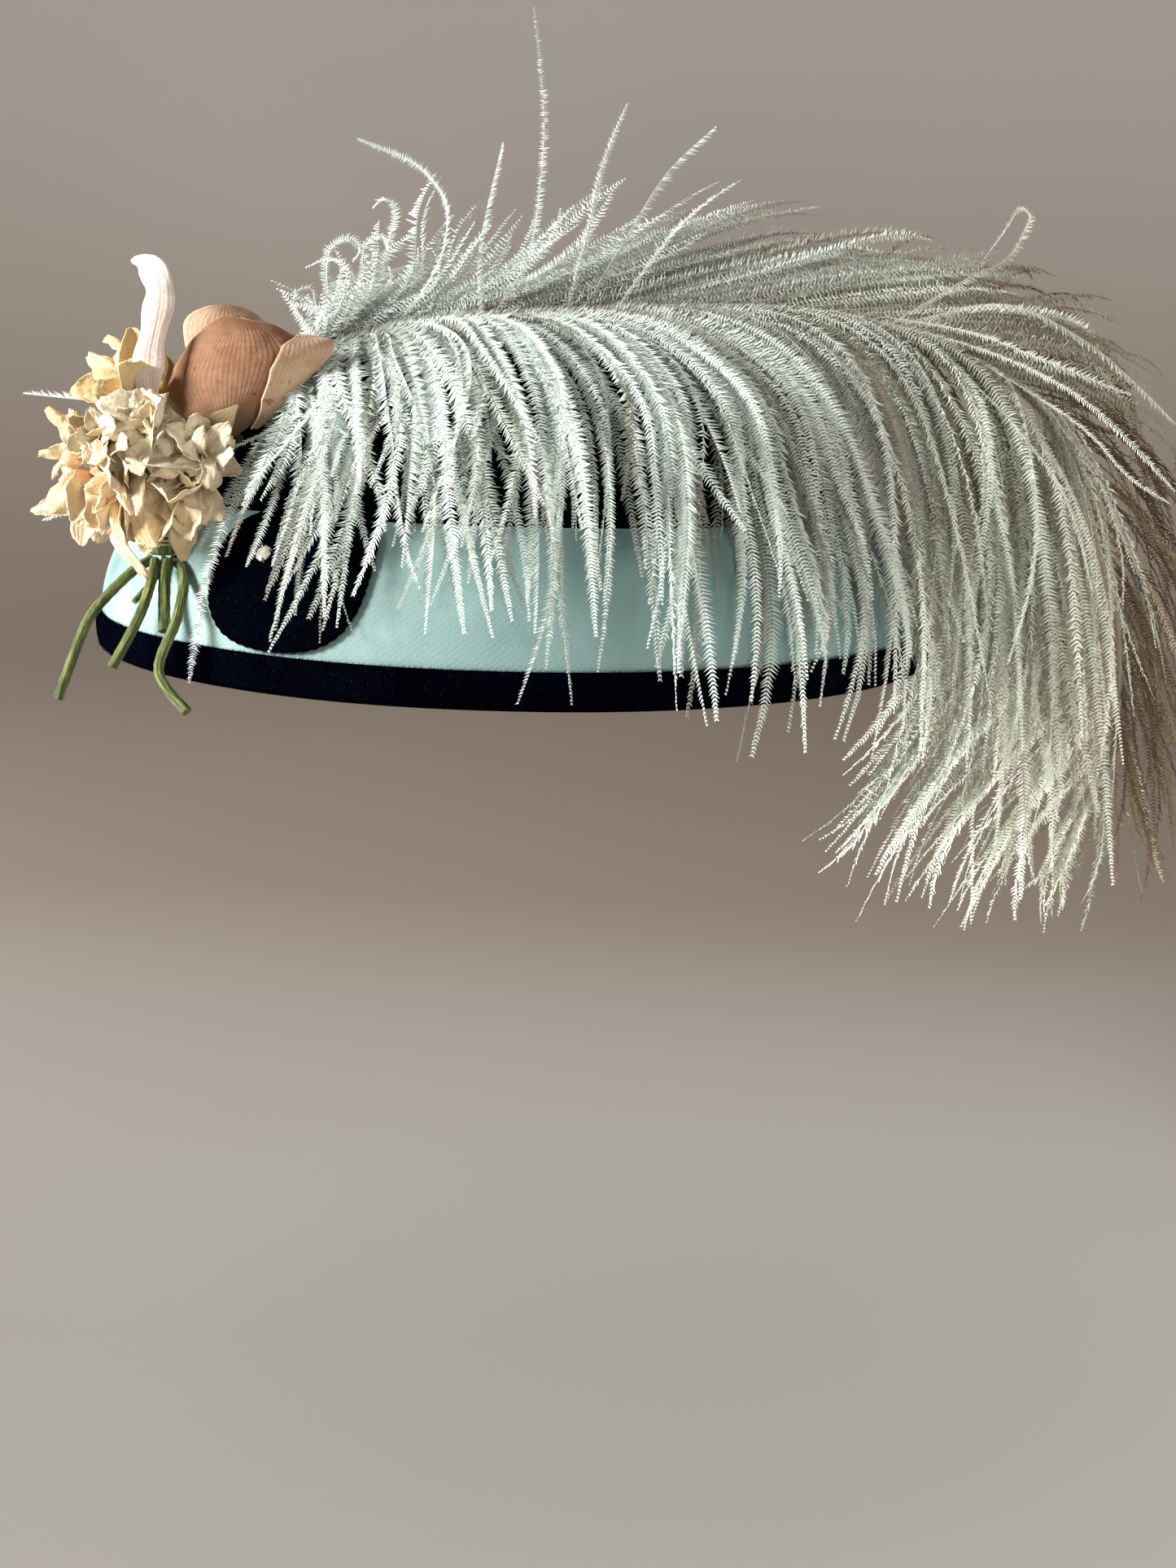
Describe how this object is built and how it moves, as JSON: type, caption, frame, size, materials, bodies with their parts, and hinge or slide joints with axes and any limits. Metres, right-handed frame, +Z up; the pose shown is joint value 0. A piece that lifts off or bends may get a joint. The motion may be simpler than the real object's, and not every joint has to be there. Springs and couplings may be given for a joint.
{
  "type": "feather tilt hat",
  "caption": "Shallow velvet tilt hat with a downturned brim, ostrich plumes sweeping over the crown and down one side, and a bunch of cloth flowers on the brim.",
  "frame": {"origin": "the inside of the crown's top, where a head carries the hat", "axes": "+Z up along the crown's axis, +X to the side that the plumes fall over, -Y to the front that shows the flowers and the disc"},
  "size_m": [0.3987, 0.285, 0.2956],
  "materials": {
    "navy_velvet": "dark navy cotton velvet, short dense pile",
    "aqua_velvet": "pale aqua velvet, brushed pile with a soft sheen",
    "clear_stone": "clear foiled rhinestone",
    "ostrich_feather": "pale grey-green ostrich flues",
    "rose_satin": "tan-pink satin with rust stains",
    "pale_satin": "pale pink satin",
    "cream_cotton": "crumpled starched cream cotton, aged",
    "tan_cotton": "stiffened tan cotton",
    "green_cotton": "olive green cloth tape wound round wire"
  },
  "bodies": {
    "root": {"crown": "navy_velvet", "brim": "aqua_velvet", "rim_binding": "navy_velvet", "velvet_disc": "navy_velvet", "rhinestone": "clear_stone", "plume_front": "ostrich_feather", "plume_back": "ostrich_feather", "rose_petal_cup": "rose_satin", "rose_petal_fold": "pale_satin", "rose_petal_curl": "pale_satin", "rose_petal_back_left": "pale_satin", "rose_petal_back_right": "pale_satin", "rose_leaf": "tan_cotton", "rose_calyx": "green_cotton", "blossom_1": "cream_cotton", "blossom_2": "cream_cotton", "blossom_3": "cream_cotton", "blossom_4": "cream_cotton", "blossom_5": "cream_cotton", "blossom_6": "cream_cotton", "blossom_7": "cream_cotton", "blossom_8": "cream_cotton", "posy_wires": "green_cotton", "stem_1": "green_cotton", "stem_2": "green_cotton", "stem_3": "green_cotton", "stem_4": "green_cotton", "stem_5": "green_cotton"}
  },
  "joints": []
}
